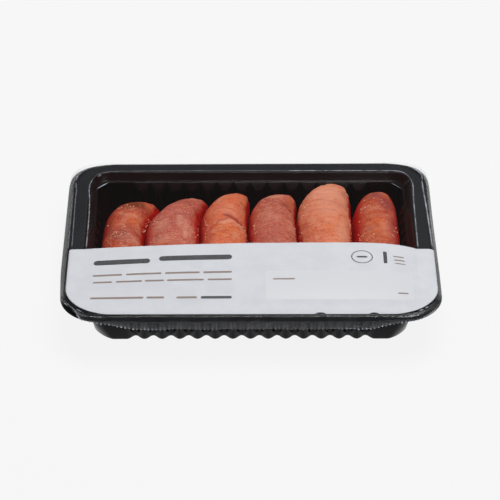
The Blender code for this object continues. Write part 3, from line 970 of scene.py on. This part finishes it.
def filmSheet():
    # outlines from the middle out to the shoulder, lifted by the sacs, with soft ripples
    # where the sheet is free; it is a little milky where it is welded to the flange
    sections = roundedSection(filmSection)
    fine = np.linspace(0, len(sections) - 1, filmLook["sheetRows"])
    inset, height, corner = (np.interp(fine, np.arange(len(sections)), column) for column in sections.T)
    x, y = roundedOutline(inset, corner, filmLook["sheetSteps"])
    inset, height = inset[:, None], height[:, None]
    free = smoothStep(11.0, 18.0, inset) * smoothStep(-14.0, -6.0, y)
    ripples = planNoise(x, y, filmLook["ripples"], filmLook["seed"])
    z = height + filmBulge(x, y) + ripples * free
    onFlange = smoothStep(12.0, 10.5, inset) * smoothStep(3.0, 5.0, inset)
    milk = filmLook["flangeHaze"] / filmLook["edgeHaze"] * onFlange * (1.0 + 0.25 * smoothStep(60.0, 90.0, x))
    moveX, moveY = rimShift(x, y)
    return np.stack([x + moveX, y + moveY, z], axis=-1), milk


def skirtLength(x, y):
    # how far the edge hangs below the shoulder: most at the front, least at the corners
    alongX = smoothStep(60.0, 88.0, np.abs(x))
    alongY = smoothStep(50.0, 68.0, np.abs(y))
    front, side = filmLook["skirtFront"], filmLook["skirtSide"]
    onLongSide = np.abs(y) / packDepth > np.abs(x) / packWidth
    straight = np.where(onLongSide, front + (side - front) * alongX, side)
    return straight + (filmLook["skirtCorner"] - straight) * alongX * alongY


def tornAway(x, y):
    # share of the hanging edge that is torn off, by the angle round the front left corner
    beyond = np.maximum(-x - packWidth / 2 + packCorner, 0.0)
    angle = np.degrees(np.arctan2(-y - packDepth / 2 + packCorner, beyond + 1e-6))
    first, full, last, end = filmLook["tornAngles"]
    return smoothStep(first, full, angle) * (1 - smoothStep(last, end, angle)) * (beyond > 0)


def atFront(y):
    # 1 along the front edge, 0 further back
    return smoothStep(-60.0, -76.0, y)


def filmSkirt():
    # bands from the shoulder down to the cut edge; the last rows follow the teeth, and
    # single teeth get a painted glint of milky white
    share = np.array(filmLook["skirtRows"])[:, None]
    inset = np.interp(share[:, 0], *filmLook["skirtInset"])
    x, y = roundedOutline(inset, np.full(len(share), packCorner), filmLook["skirtSteps"])
    # away from the front edge it lies close under the lip
    tucked = (1 - atFront(y[-1])) * smoothStep(0.25, 1.0, share) * filmLook["tuck"]
    moveX, moveY = rimShift(x, y)
    size = np.hypot(x, y)
    x, y = x + moveX - tucked * x / size, y + moveY - tucked * y / size
    torn = tornAway(x[-1], y[-1])
    kept = 1 - filmLook["tornShare"] * torn
    x, y = x[0] + (x - x[0]) * kept, y[0] + (y - y[0]) * kept
    travelled = np.append(0.0, np.cumsum(np.hypot(np.diff(x[-1]), np.diff(y[-1]))))
    tooth = travelled / filmLook["toothPitch"]
    seed = filmLook["seed"] + 10
    random = np.random.default_rng(seed + 2).uniform(0.0, 1.0, (2, int(tooth[-1]) + 2))
    index = np.floor(tooth).astype(int)
    tip = 1 - np.abs(tooth % 1.0 - 0.5) * 2
    teeth = tip * (0.6 + 0.7 * random[0][index]) * (0.4 + 0.6 * kept)
    drop = share * (skirtLength(x[-1], y[-1]) - 0.6) * kept + filmLook["toothDepth"] * teeth * share**6
    # soft waves in and out, mostly along the front
    front = atFront(y[-1])
    waves = planNoise(x, y, filmLook["skirtWaves"], seed)
    move = (waves - 0.3) * smoothStep(0.25, 0.9, share) * kept * (0.2 + 0.8 * front)
    size = np.hypot(x, y)
    ends = smoothStep(35.0, 65.0, np.abs(x[-1])) * smoothStep(-66.0, -74.0, y[-1])
    # painted glints: milky white on single tooth tips, mostly towards the ends of the front edge
    paintedGlint = (0.3 + 0.7 * random[1][index] ** 2) * smoothStep(0.45, 0.95, tip) * (0.2 + 0.8 * ends)
    edge = share**14 * (0.04 + 0.96 * np.maximum(paintedGlint, 0.8 * torn))
    gloss = filmLook["sideGloss"] + (1 - filmLook["sideGloss"]) * front + 0 * edge
    band = np.stack([x + x / size * move, y + y / size * move, shoulderHeight - drop], axis=-1)
    return band, {"edge": edge, "gloss": gloss}


def filmMaterial(name, haze, shine):
    # clear film: mostly seen through, a thin haze, and gloss that grows at grazing angles
    nodes = NodeTree(bpy.data.materials.new(name))
    clear = nodes.add("BsdfTransparent").outputs[0]
    milky = nodes.add("BsdfDiffuse", color=filmLook["haze"]).outputs[0]
    white = (1.0, 1.0, 1.0, 1.0)
    mirror = nodes.add("BsdfGlossy", color=white, roughness=filmLook["roughness"]).outputs[0]
    cloud = nodes.spread(nodes.noise(filmLook["hazeScale"]), 0.3, 0.7, haze * 0.6, haze * 1.4)
    # the edge field's milk is real haze on the weld, and also paints the glints on the teeth and the
    # highlight lines along the folds
    milk = nodes.number("MULTIPLY_ADD", nodes.field("edge"), filmLook["edgeHaze"], cloud)
    hazy = nodes.add("MixShader", milk, clear, milky).outputs[0]
    gloss = nodes.number("MULTIPLY", nodes.field("gloss"), shine)
    grazing = nodes.number("MULTIPLY", nodes.add("Fresnel", ior=1.45).outputs[0], gloss)
    return nodes.finish("MixShader", grazing, hazy, mirror)


def buildFilm():
    # the sheet is closed in its middle and open at the shoulder, where the skirt starts
    sheet, milk = filmSheet()
    points, faces = closedRings(sheet, endClosed=False)
    fields = {"edge": np.append(milk, 0.0), "gloss": np.ones(len(points))}
    clear = filmMaterial("clearLidFilm", filmLook["sheetHaze"], filmLook["sheetGloss"])
    film = makePiece("film_sheet", points, faces, clear, fields)
    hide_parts("film")
    band, fields = filmSkirt()
    faces = gridFaces(*band.shape[:2], around=True)
    milky = filmMaterial("clearFilmEdge", filmLook["skirtHaze"], filmLook["skirtGloss"])
    skirt = makePiece("film_skirt", band.reshape(-1, 3), faces, milky, fields)
    for piece in (film, skirt):
        thicken(piece, filmLook["thickness"])


buildFilm()
print("film built")


# Light folds: thin raised ridges whose milky middle is a painted highlight line, where the
# film is welded and creased round the opening and at the shoulder, and along the tray's ledge edge

foldLook = {
    "step": 0.7,
    "lift": 0.04,
    "ridge": 0.12,
    "taper": 4.0,
    "evening": 6,
    "seed": 500,
    "seedStep": 40,
    "clouds": ((0.45, 5.0), (0.3, 1.6)),
    "ledgeHeight": 24.62,
    "filmProfile": (
        (0.4, 1.0, 1.8, 2.6, 4.4, 10.0, 11.2, 14.0),
        (24.9, 25.9, 26.7, 27.45, 28.1, 28.05, 28.25, 28.2),
    ),
}

# each fold: its line in plan, its width and how milky it is, which is how bright its painted highlight is
filmFoldHighlights = (
    (
        (-89.9, -13), (-89.9, 11), (-90, 24), (-90.4, 37), (-91.2, 46.6), (-91.1, 52.6),
        (-90, 58), (-87.8, 62.8), 0.9, 0.42,
    ),
    (
        (-89.2, 60.5), (-87.8, 62.8), (-85.3, 65), (-82, 66.5), (-75, 67.2), (-55, 67.5),
        (0, 67.7), (40, 67.6), 0.8, 0.30,
    ),
    (
        (20, 67.6), (70, 67.5), (83, 67.3), (86.3, 66.5), (88.4, 64.8), (90.2, 61.8),
        (91.6, 58.2), (92.4, 54), 0.9, 0.55,
    ),
    ((91.9, 57), (92.5, 52), (92.4, 47.4), (92, 36.8), (91.9, 13.9), (91.8, -13), 1.0, 0.42),
    ((-100.0, -13), (-100.1, 20), (-100.2, 47.6), 1.0, 0.22),
    ((-97.8, -13), (-98.2, 18.6), (-98.5, 38), (-98.3, 46.5), (-98.8, 52), (-99.3, 57), 0.9, 0.30),
    (
        (-99.3, 56), (-98.6, 61.5), (-96.9, 65.3), (-94.3, 68.6), (-91.8, 70.5), (-88, 72.2),
        (-83, 73), 0.9, 0.55,
    ),
    ((-101.2, 51.6), (-100, 51.4), (-98.6, 51.1), 1.2, 0.75),
    ((-87.8, 60.2), (-86, 62.2), (-84.2, 63.8), 1.0, 0.45),
    ((85.5, 75), (89.8, 73), (93.3, 70.2), (95.2, 68.1), (96.9, 65.8), (98.2, 62), (98.0, 56), 1.0, 0.65),
    (
        (97.8, 58), (97.9, 52), (98.2, 43), (98.6, 34), (98.9, 25), (99.2, 14), (99.6, 2),
        (99.8, -12), 1.2, 0.60,
    ),
    ((100.6, 30), (100.9, 10), (101.2, -8), 0.9, 0.22),
    ((88.6, -71.3), (90.5, -70.4), (92.2, -69.4), 1.0, 0.90),
    ((92.3, -69), (93.6, -67.8), (94.8, -66.6), 1.0, 0.95),
    ((82, -74.5), (87, -73.6), (91, -71.6), (93.5, -69.4), 1.4, 0.25),
    ((-100.0, -60.2), (-98.4, -63.4), (-95.9, -66.6), 0.9, 0.80),
    ((-93.2, -68.2), (-90.5, -70.6), (-88.2, -72), 0.9, 0.60),
    ((-95.6, -66.4), (-93.6, -69.6), (-90, -73), (-85, -74.8), 1.2, 0.25),
)
ledgeHighlightLines = (
    ((-88.0, 52.9), (-84.2, 57.4), (-79.8, 61.5), 0.9, 1.0),
    ((87.0, 52.6), (82.8, 57.4), (79.0, 60.8), 0.8, 0.55),
)


def filmTop(x, y):
    # the film's section read at the place's inset, and the bulge over the sacs
    return np.interp(shiftedInset(x, y), *foldLook["filmProfile"]) + filmBulge(x, y)


def ledgeTop(x, y):
    # the tray's ledge below the bead is level
    return foldLook["ledgeHeight"] + 0 * x


def foldStrip(line, width, milk, top, number):
    # three rows of points along the line: both edges and the raised middle, milky as a
    # painted highlight; the line is evened out by averaging neighbours, and thins out at both ends
    line = np.array(line, dtype=float)
    along = np.concatenate([[0.0], np.cumsum(np.hypot(*np.diff(line, axis=0).T))])
    place = np.linspace(0.0, along[-1], max(int(along[-1] / foldLook["step"]), 8) + 1)
    path = np.stack([np.interp(place, along, line[:, axis]) for axis in (0, 1)], axis=-1)
    for _ in range(foldLook["evening"]):
        path[1:-1] = (path[:-2] + 2 * path[1:-1] + path[2:]) / 4
    heading = np.gradient(path, axis=0)
    heading /= np.hypot(heading[:, 0], heading[:, 1])[:, None]
    across = np.stack([-heading[:, 1], heading[:, 0]], axis=-1)
    toEnd = np.minimum(place, along[-1] - place)
    taper = 0.15 + 0.85 * smoothStep(0.0, min(foldLook["taper"], along[-1] / 2), toEnd)
    side = np.array([-0.5, 0.0, 0.5])[:, None]
    spot = path[None] + across[None] * (side * width * taper)[..., None]
    x, y = spot[..., 0], spot[..., 1]
    clouds = planNoise(x[1], y[1], foldLook["clouds"], foldLook["seed"] + number, foldLook["seedStep"])
    uneven = np.clip(0.75 + clouds, 0.1, 1.3)
    middle = side == 0.0
    z = top(x, y) + foldLook["lift"] + foldLook["ridge"] * taper * middle
    return np.stack([x, y, z], axis=-1), middle * milk * taper * uneven


def buildFolds(name, folds, top):
    # every fold is a strip of its own, and all of them are one mesh
    parts = [foldStrip(fold[:-2], *fold[-2:], top, number) for number, fold in enumerate(folds)]
    points, faces = joinGrids([strip for strip, _ in parts])
    milk = np.concatenate([strength.ravel() for _, strength in parts])
    fields = {"edge": milk, "gloss": np.ones(len(milk))}
    # milky material that paints the highlight lines
    material = filmMaterial(name + "_painted_highlight", 0.0, filmLook["sheetGloss"])
    makePiece(name, points, np.vstack(faces), material, fields)


buildFolds("film_fold_highlights", filmFoldHighlights, filmTop)
buildFolds("ledge_highlight_lines", ledgeHighlightLines, ledgeTop)
print("folds built")


# Label: a bent paper sheet with round front corners and two small notches in its
# front edge, with plain bars, a ring and a panel printed on it

labelLook = {
    "insetLeft": 3.4,
    "insetRight": 2.1,
    "insetFront": 3.3,
    "corner": 24.5,
    "backRow": -13.3,
    "profile": ((2.6, 3.2, 4.6, 8.0), (27.65, 28.0, 28.38, 28.48)),
    "rise": 1.12,
    "thickness": 0.18,
    "backCorner": 0.8,
    "notches": ((37.0, 2.6, 1.1), (65.3, 2.4, 1.0)),
    "notchReach": 12.0,
    "seed": 401,
    "waves": ((0.10, 18.0), (0.03, 5.0)),
    "columns": 321,
    "rows": 60,
    "printStep": 0.7,
    "barRounding": 0.45,
    "inkLift": 0.05,
    "panelLift": 0.02,
    "panelCorner": 0.8,
    "paper": (0.66, 0.675, 0.71, 1.0),
    "paperShade": (0.625, 0.64, 0.68, 1.0),
    "ink": (0.035, 0.035, 0.04, 1.0),
    "softInk": (0.26, 0.19, 0.16, 1.0),
    "panel": (0.676, 0.69, 0.722, 1.0),
}

# plain bars, a row at a time: lower and upper edge, ink, then left and right ends
labelBars = (
    (-29.9, -25.5, "ink", (-85.0, -54.5)),
    (-28.3, -23.9, "ink", (-49.5, -10.0)),
    (-40.3, -38.8, "softInk", (-85.0, -69.2), (-67.0, -48.0), (-46.0, -27.3), (-25.4, -10.0)),
    (-46.6, -45.2, "softInk", (-84.7, -74.3), (-72.2, -58.2), (-56.7, -46.4), (-44.8, -25.0), (-23.0, -10.0)),
    (-61.0, -59.4, "softInk", (-85.5, -57.0), (-55.5, -46.0)),
    (-61.2, -59.6, "softInk", (-39.5, -28.5)),
    (-61.4, -59.4, "ink", (-26.5, -10.0)),
    (-25.5, -24.5, "softInk", (77.5, 83.4)),
    (-28.7, -27.7, "softInk", (77.9, 83.7)),
    (-31.7, -30.9, "softInk", (78.3, 83.9)),
    (-46.6, -45.5, "softInk", (12.1, 23.9)),
    (-57.7, -56.6, "softInk", (78.7, 84.3)),
    (-32.1, -21.1, "ink", (72.1, 74.1)),
    (-27.4, -26.0, "ink", (57.6, 63.4)),
)
labelRing = (60.5, -26.7, 5.6, 0.55)  # middle x, middle y, radius, width
labelPanel = (8.4, 87.2, -62.3, -39.2)  # left, right, lower, upper


def labelHeight(x, y):
    # lies on the flange and bends down at the shoulder, follows the film's bulge a
    # little steeper, and has the faint waves of paper
    inset = shiftedInset(x, y)
    waves = planNoise(x, y, labelLook["waves"], labelLook["seed"])
    height = np.interp(inset, *labelLook["profile"]) + waves * smoothStep(4.0, 11.0, inset)
    return height + labelLook["rise"] * filmBulge(x, y)


def labelSheet():
    # rows from front to back, each as wide as the rounded corners allow; the front edge
    # is drawn back in an arc at each notch, and the rows behind it follow less and less
    left = labelLook["insetLeft"] - packWidth / 2
    right = packWidth / 2 - labelLook["insetRight"]
    front = labelLook["insetFront"] - packDepth / 2
    corner, back, rows = labelLook["corner"], labelLook["backRow"], labelLook["rows"]
    arc = front + corner * (1 - np.cos(np.linspace(0, 1, rows) * np.pi / 2))
    rowY = np.concatenate([arc, np.linspace(front + corner, back, rows)[1:]])
    reach = np.clip((front + corner - rowY) / corner, 0.0, 1.0)
    backReach = np.clip((rowY - back + 1.0), 0.0, 1.0)
    drawn = corner * (1 - np.sqrt(1 - reach**2))
    drawn += labelLook["backCorner"] * (1 - np.sqrt(1 - backReach**2))
    run = np.linspace(0, 1, labelLook["columns"])[None, :]
    x = (left + drawn)[:, None] + (right - left - 2 * drawn)[:, None] * run
    y = rowY[:, None] + 0 * x
    pull = np.clip((front + labelLook["notchReach"] - y) / labelLook["notchReach"], 0.0, 1.0)
    for middle, halfNotch, depth in labelLook["notches"]:
        bow = np.sqrt(np.clip(1 - ((x - middle) / halfNotch) ** 2, 0.0, 1.0))
        y = y + depth * bow * pull
    return np.stack([x, y, labelHeight(x, y)], axis=-1)


def paperMaterial():
    # cool white paper: faint clouds, a fine fibre grain, matte
    nodes = NodeTree(bpy.data.materials.new("labelPaper"))
    cloud = nodes.noise(90.0, 5.0, 0.6)
    fibre = nodes.noise(2200.0, 2.0)
    share = nodes.spread(cloud, 0.38, 0.62, 0.0, 1.0)
    return nodes.finish(
        "BsdfPrincipled",
        baseColor=nodes.mix(share, labelLook["paper"], labelLook["paperShade"]),
        roughness=nodes.spread(cloud, 0.3, 0.7, 0.62, 0.75),
        normal=nodes.add("Bump", strength=0.15, distance=0.0002, height=fibre).outputs[0],
        ior=1.45,
    )


def inkMaterial(name, colour, roughness):
    # a flat print with slightly uneven cover
    nodes = NodeTree(bpy.data.materials.new(name))
    share = nodes.spread(nodes.noise(1500.0, 2.0), 0.3, 0.75, 0.0, 0.12)
    colour = nodes.mix(share, colour, labelLook["paper"])
    return nodes.finish("BsdfPrincipled", baseColor=colour, roughness=roughness, ior=1.45)


def printPatch(left, right, lower, upper, radius, lift):
    # a bar with round corners on the paper: rows of even height whose ends draw in
    step = labelLook["printStep"]
    columns = np.linspace(-1, 1, max(int((right - left) / step), 8) + 1)
    x = (left + right) / 2 + (right - left) / 2 * np.sin(columns * np.pi / 2)
    toEnd = np.clip((radius - np.minimum(x - left, right - x)) / radius, 0.0, 1.0)
    draw = radius * (1 - np.sqrt(1 - toEnd**2 * 0.96))
    rise = np.linspace(-1, 1, max(int((upper - lower) / step), 2) + 1)[:, None]
    y = (lower + upper) / 2 + ((upper - lower) / 2 - draw)[None, :] * rise
    x = x[None, :] + 0 * y
    return np.stack([x, y, labelHeight(x, y) + lift], axis=-1)


def ringPatch(middleX, middleY, radius, width, lift):
    # three circles about one middle, turned over so that the faces look up
    turn = np.linspace(0, 2 * np.pi, 65)[None, :]
    across = np.linspace(-0.5, 0.5, 3)[:, None] * width + radius
    x = middleX + across * np.cos(turn)
    y = middleY + across * np.sin(turn)
    return np.stack([x, y, labelHeight(x, y) + lift], axis=-1)[::-1]


def buildPrint():
    # every printed shape is its own small grid, all in one mesh with three materials
    materials = {
        "ink": inkMaterial("darkInk", labelLook["ink"], 0.5),
        "softInk": inkMaterial("brownInk", labelLook["softInk"], 0.5),
        "panel": inkMaterial("glossPanel", labelLook["panel"], 0.38),
    }
    lift = labelLook["inkLift"]
    patches = [(printPatch(*labelPanel, labelLook["panelCorner"], labelLook["panelLift"]), "panel")]
    for lower, upper, ink, *bars in labelBars:
        for left, right in bars:
            radius = min(right - left, upper - lower) * labelLook["barRounding"]
            patches.append((printPatch(left, right, lower, upper, radius, lift), ink))
    patches.append((ringPatch(*labelRing, lift), "ink"))
    grids, inks = zip(*patches)
    points, faces = joinGrids(grids)
    printed = makePiece("label_print", points, np.vstack(faces), materials["ink"])
    order = list(materials)
    for ink in order[1:]:
        printed.data.materials.append(materials[ink])
    slots = [order.index(ink) for ink, part in zip(inks, faces) for _ in part]
    printed.data.polygons.foreach_set("material_index", slots)


def buildLabel():
    # one sheet whose thickness lies below it
    sheet = labelSheet()
    faces = gridFaces(*sheet.shape[:2])
    label = makePiece("label_sheet", sheet.reshape(-1, 3), faces, paperMaterial())
    thicken(label, labelLook["thickness"])
    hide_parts("label")


buildLabel()
buildPrint()
print("label built")


# Studio: pale floor, one large soft light above, an even dim surround, and the
# camera at the photograph's angle

studio = {
    "floorHalf": 6.0,
    "floorColour": (0.93, 0.93, 0.93, 1.0),
    "floorGlow": 0.95,
    "surround": 0.18,
    "aim": (0.0, 0.0, 0.02),
}

# name, place, width, height and power of each soft light
softLights = (
    ("softboxAbove", (0.16, 0.14, 1.24), 1.0, 0.8, 15.6),
    ("stripBackLeft", (-0.85, 1.05, 0.40), 0.35, 0.7, 0.4),
    ("stripBackRight", (0.85, 1.05, 0.40), 0.35, 0.7, 0.4),
)


def buildFloor():
    # a large square that glows evenly in its pale colour and takes a little light
    half, glow, pale = studio["floorHalf"], studio["floorGlow"], studio["floorColour"]
    corners = [(-half, -half, 0), (half, -half, 0), (half, half, 0), (-half, half, 0)]
    mesh = bpy.data.meshes.new("floor")
    mesh.from_pydata(corners, [], [(0, 1, 2, 3)])
    nodes = NodeTree(bpy.data.materials.new("paleFloor"))
    rest = [value * (1 - glow) for value in pale[:3]] + [1.0]
    matte = nodes.add("BsdfDiffuse", color=rest).outputs[0]
    light = nodes.add("Emission", color=pale, strength=glow).outputs[0]
    mesh.materials.append(nodes.finish("AddShader", matte, light))
    floor = bpy.data.objects.new("floor", mesh)
    bpy.context.scene.collection.objects.link(floor)


def buildSurround():
    # dim even light from all round; the camera itself sees the pale backdrop
    world = bpy.data.worlds.new("surround")
    nodes = NodeTree(world)
    seen = nodes.add("LightPath").outputs["Is Camera Ray"]
    dim = nodes.add("Background", strength=studio["surround"]).outputs[0]
    pale = nodes.add("Background", color=studio["floorColour"]).outputs[0]
    nodes.add("OutputWorld", nodes.add("MixShader", seen, dim, pale).outputs[0])
    bpy.context.scene.world = world


def buildLight(name, place, width, height, power):
    # a glowing rectangle that faces the pack
    data = bpy.data.lights.new(name, "AREA")
    data.shape = "RECTANGLE"
    data.size, data.size_y = width, height
    data.energy = power
    lamp = bpy.data.objects.new(name, data)
    lamp.location = place
    lamp.rotation_euler = (Vector(studio["aim"]) - lamp.location).to_track_quat("-Z", "Y").to_euler()
    bpy.context.scene.collection.objects.link(lamp)


# millimetres, degrees and pixels, fitted to the photograph's rim, flutes and base
cameraPlace = {
    "target": (-0.18, 10.19, 12.0),
    "distance": 1466.6,
    "pitch": 34.0,
    "yaw": -0.08,
    "roll": -0.05,
    "focalPixels": 2627.7,
    "framePixels": 500.0,
}


def buildCamera():
    # stands back from its target by its pitch and yaw, and is rolled about its view
    pitch, yaw, roll = (math.radians(cameraPlace[key]) for key in ("pitch", "yaw", "roll"))
    back = Vector((math.sin(yaw) * math.cos(pitch), -math.cos(yaw) * math.cos(pitch), math.sin(pitch)))
    right = (-back).cross(Vector((0.0, 0.0, 1.0))).normalized()
    up = right.cross(-back)
    tiltedRight = math.cos(roll) * right + math.sin(roll) * up
    tiltedUp = -math.sin(roll) * right + math.cos(roll) * up
    place = (Vector(cameraPlace["target"]) + back * cameraPlace["distance"]) * mm
    data = bpy.data.cameras.new("camera")
    data.sensor_width = 36.0
    data.lens = cameraPlace["focalPixels"] / cameraPlace["framePixels"] * data.sensor_width
    data.clip_start, data.clip_end = 0.05, 50.0
    camera = bpy.data.objects.new("camera", data)
    turned = Matrix((tiltedRight, tiltedUp, back)).transposed().to_4x4()
    camera.matrix_world = Matrix.Translation(place) @ turned
    bpy.context.scene.collection.objects.link(camera)
    bpy.context.scene.camera = camera


buildFloor()
buildSurround()
for softLight in softLights:
    buildLight(*softLight)
buildCamera()
bpy.context.scene.view_settings.view_transform = "Standard"
print("studio built")
